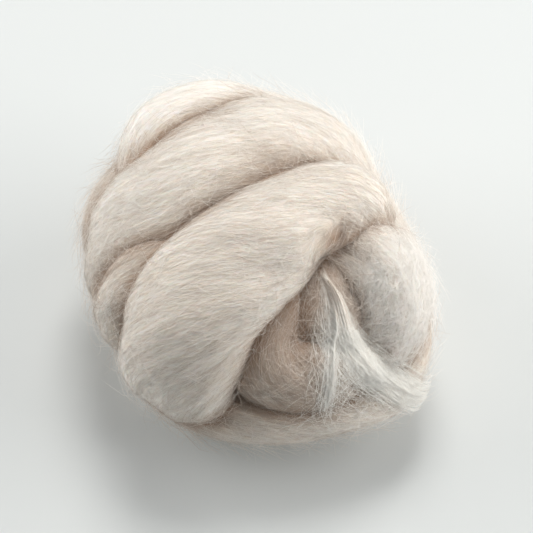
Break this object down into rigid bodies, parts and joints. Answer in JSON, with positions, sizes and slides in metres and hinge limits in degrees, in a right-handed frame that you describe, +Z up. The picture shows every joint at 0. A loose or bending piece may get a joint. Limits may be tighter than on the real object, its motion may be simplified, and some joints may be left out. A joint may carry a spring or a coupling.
{
  "type": "wool roving ball",
  "caption": "Loose hand-wound ball of undyed combed wool roving, thick soft wraps folded over each other, with one loose end opened out on its front; rests on a flat spot.",
  "frame": {"origin": "on the surface the ball lies on, under the middle of its box", "axes": "+Z up; the front, which shows the loose end, faces -Y; +X is to the right seen from the front"},
  "size_m": [0.1108, 0.119, 0.0892],
  "materials": {
    "wool": "matt combed fibre",
    "wool_tip": "matt combed fibre, thin and light"
  },
  "bodies": {
    "root": {"wound_ball": "wool", "loose_end": "wool_tip"}
  },
  "joints": []
}
